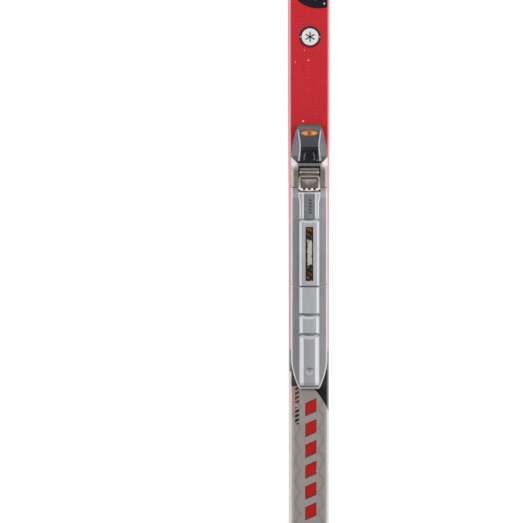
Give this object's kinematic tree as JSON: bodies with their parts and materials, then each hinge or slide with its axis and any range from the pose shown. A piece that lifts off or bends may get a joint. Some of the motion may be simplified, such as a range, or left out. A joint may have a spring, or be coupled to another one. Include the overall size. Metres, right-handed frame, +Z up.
{
  "type": "cross country ski with binding",
  "caption": "Cap-built cross country ski with a step-in toe binding: press lever, sliding jaw, rubber flexor and boot guide plates.",
  "frame": {"origin": "middle of the ski's length and width, on the plane the base rests on", "axes": "+Y along the ski towards the tip, +X to the skier's right, +Z up from the base to the deck"},
  "size_m": [0.0506, 1.9, 0.1145],
  "materials": {
    "base": "black sintered running base",
    "edge": "pale pink hard plastic, satin",
    "laminate": "glass-fibre sheet",
    "core": "light core, unfinished",
    "insert": "hard screw-holding sheet",
    "cap": "printed cap, red and black in front, warm silver behind",
    "protector": "black moulded plastic",
    "housing": "taupe grey moulded plastic",
    "lever": "dark grey moulded plastic, satin",
    "badge": "orange inlay",
    "pad": "glossy black",
    "steel": "zinc-plated steel",
    "jaw": "glass-filled taupe plastic",
    "rubber": "brown-grey flexor rubber",
    "frame": "cream plastic, yellowed",
    "plate": "silver-grey moulded plastic, satin",
    "inlay": "dark grey inlay",
    "label": "worn black sticker",
    "plug": "light grey plastic"
  },
  "bodies": {
    "ski": {"base_sole": "base", "edge_strip_left": "edge", "edge_strip_right": "edge", "lower_laminate": "laminate", "core": "core", "upper_laminate": "laminate", "binding_insert_plate": "insert", "top_cap": "cap", "tip_spacer": "edge", "tail_protector": "protector", "toe_housing": "housing", "lever_pin": "steel", "jaw_spring": "steel", "spring_guide_pin": "steel", "bar_seat": "steel", "flexor": "rubber", "flexor_frame": "frame", "front_ridge_plate": "plate", "ridge_inlay": "inlay", "ridge_label": "label", "heel_plate": "plate", "toe_screw_front": "steel", "toe_screw_left": "steel", "toe_screw_right": "steel", "ridge_screw": "steel", "heel_screw": "steel", "heel_screw_plug": "plug"},
    "release_lever": {"release_lever": "lever", "lever_badge": "badge", "pole_tip_pad": "pad"},
    "jaw": {"jaw": "jaw"}
  },
  "joints": [
    {"name": "lever_hinge", "type": "hinge", "parent": "ski", "child": "release_lever", "pos_m": [0, 0.005, 0.0435], "axis": [1, 0, 0], "range_deg": [0, 6.5], "stiffness_Nm_per_rad": 0.3, "springref_deg": -5.73},
    {"name": "jaw_slide", "type": "slide", "parent": "ski", "child": "jaw", "axis": [0, 1, 0], "range_m": [0, 0.0041], "deforming": ["jaw_spring"]}
  ],
  "couplings": [
    {"joint": "jaw_slide", "follows": "lever_hinge", "m_per_rad": 0.03526}
  ]
}
